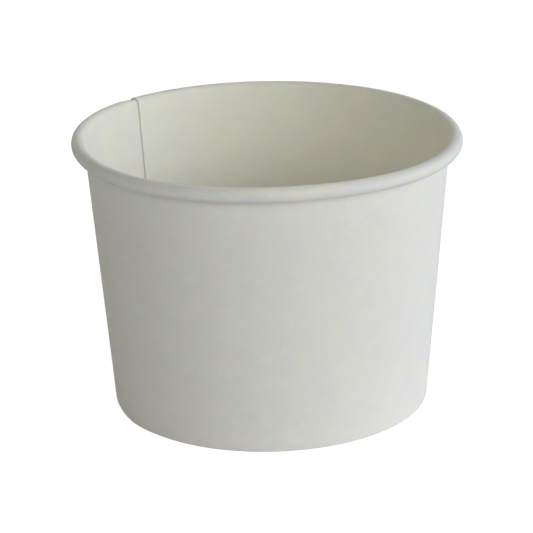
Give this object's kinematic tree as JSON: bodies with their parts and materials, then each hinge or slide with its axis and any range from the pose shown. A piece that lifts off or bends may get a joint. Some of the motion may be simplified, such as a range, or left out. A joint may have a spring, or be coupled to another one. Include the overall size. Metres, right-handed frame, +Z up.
{
  "type": "paper soup bowl",
  "caption": "Round paper soup bowl: tapered board wall with a lapped side seam, a rolled rim, and a recessed bottom held in the foot's hem.",
  "frame": {"origin": "centre of the standing ring, on the table", "axes": "+Z up along the bowl's axis; +X to the right and +Y away from the viewer in the picture"},
  "size_m": [0.116, 0.116, 0.0828],
  "materials": {
    "side_wall": "matte uncoated board outside, thin satin lining inside",
    "bottom_disc": "thin satin lining inside, matte board below"
  },
  "bodies": {
    "root": {"side_wall": "side_wall", "bottom_disc": "bottom_disc"}
  },
  "joints": []
}
